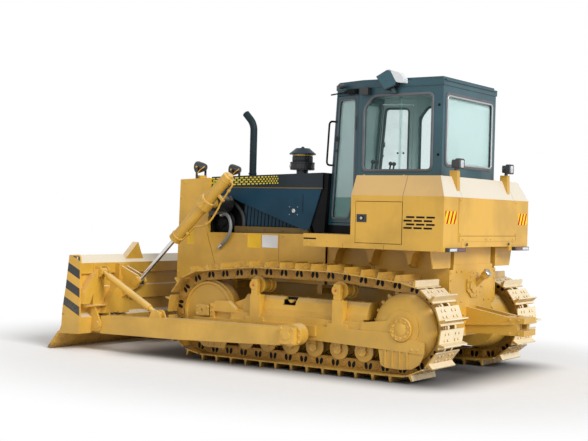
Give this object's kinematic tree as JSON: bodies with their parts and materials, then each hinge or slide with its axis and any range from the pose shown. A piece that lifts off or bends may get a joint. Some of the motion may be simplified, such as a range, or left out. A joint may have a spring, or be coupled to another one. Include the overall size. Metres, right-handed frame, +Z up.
{
  "type": "track-type bulldozer with a straight blade",
  "caption": "Diesel crawler tractor with a closed cab, two lift cylinders and a straight dozer blade on outside push arms, with a rear drawbar.",
  "frame": {"origin": "on the ground, halfway along the overall length and halfway across the blade", "axes": "+X forward to the blade, +Y to the left, +Z up"},
  "size_m": [5.4465, 3.297, 3.239],
  "materials": {
    "body_yellow": "ochre yellow machine paint, satin",
    "track_steel": "yellow paint over cast and rolled steel, lightly worn",
    "cab_grey": "dark blue-grey paint, satin",
    "window_glass": "green-tinted safety glass",
    "black_paint": "black paint",
    "black_plastic": "moulded black plastic",
    "seat_vinyl": "black vinyl",
    "lamp_housing": "black lamp housing",
    "engine_iron": "painted cast iron",
    "chrome_rod": "ground hard chrome"
  },
  "bodies": {
    "tractor": {"cab_base": "black_paint", "cab_glass": "window_glass", "cab_roof": "cab_grey", "cab_shell": "cab_grey", "carrier_rollers": "body_yellow", "controls": "black_plastic", "cowl": "black_paint", "drawbar": "body_yellow", "engine_block": "engine_iron", "exhaust_stack": "cab_grey", "fenders": "body_yellow", "final_drives": "body_yellow", "fuel_tank": "body_yellow", "grab_handles": "black_paint", "hood": "cab_grey", "idlers": "body_yellow", "lower_side_plates": "body_yellow", "main_frame": "body_yellow", "precleaner": "black_paint", "radiator": "black_paint", "radiator_guard": "body_yellow", "rear_case": "body_yellow", "seat": "seat_vinyl", "side_box_left": "body_yellow", "side_box_right": "body_yellow", "side_panels": "cab_grey", "sprockets": "body_yellow", "track_frame_left": "body_yellow", "track_frame_right": "body_yellow", "track_left": "track_steel", "track_right": "track_steel", "track_rollers": "body_yellow", "work_lamps": "lamp_housing"},
    "blade_frame": {"blade": "body_yellow", "cutting_edge": "track_steel", "push_arm_left": "body_yellow", "push_arm_right": "body_yellow", "blade_braces": "body_yellow"},
    "barrel_left": {"lift_barrel_left": "body_yellow"},
    "barrel_right": {"lift_barrel_right": "body_yellow"},
    "rod_left": {"lift_rod_left": "chrome_rod"},
    "rod_right": {"lift_rod_right": "chrome_rod"},
    "door_left": {"cab_door_left": "cab_grey"},
    "door_right": {"cab_door_right": "cab_grey"},
    "box_door": {"side_box_door": "body_yellow"}
  },
  "joints": [
    {"name": "blade_lift", "type": "hinge", "parent": "tractor", "child": "blade_frame", "pos_m": [-0.65, 0, 0.41], "axis": [0, -1, 0], "range_deg": [-5.6, 18]},
    {"name": "cylinder_left_swivel", "type": "hinge", "parent": "tractor", "child": "barrel_left", "pos_m": [0.907, 0.95, 1.784], "axis": [0, -1, 0], "range_deg": [-8.2, 25.8]},
    {"name": "cylinder_right_swivel", "type": "hinge", "parent": "tractor", "child": "barrel_right", "pos_m": [0.907, -0.95, 1.784], "axis": [0, -1, 0], "range_deg": [-8.2, 25.8]},
    {"name": "rod_left_slide", "type": "slide", "parent": "barrel_left", "child": "rod_left", "axis": [0.7245, 0, -0.6893], "range_m": [-0.63, 0.2]},
    {"name": "rod_right_slide", "type": "slide", "parent": "barrel_right", "child": "rod_right", "axis": [0.7245, 0, -0.6893], "range_m": [-0.63, 0.2]},
    {"name": "cab_door_left_hinge", "type": "hinge", "parent": "tractor", "child": "door_left", "pos_m": [-0.91812, 0.60789, 2.3], "axis": [0, 0, 1], "range_deg": [0, 100]},
    {"name": "cab_door_right_hinge", "type": "hinge", "parent": "tractor", "child": "door_right", "pos_m": [-0.91812, -0.60789, 2.3], "axis": [0, 0, -1], "range_deg": [0, 100]},
    {"name": "box_door_hinge", "type": "hinge", "parent": "tractor", "child": "box_door", "pos_m": [-1.735, 1.044, 1.6], "axis": [0, 0, 1], "range_deg": [0, 110]}
  ],
  "couplings": [
    {"joint": "cylinder_left_swivel", "follows": "blade_lift", "ratio": 1.4139},
    {"joint": "cylinder_right_swivel", "follows": "blade_lift", "ratio": 1.4139},
    {"joint": "rod_left_slide", "follows": "blade_lift", "m_per_rad": -1.9757},
    {"joint": "rod_right_slide", "follows": "blade_lift", "m_per_rad": -1.9757}
  ]
}
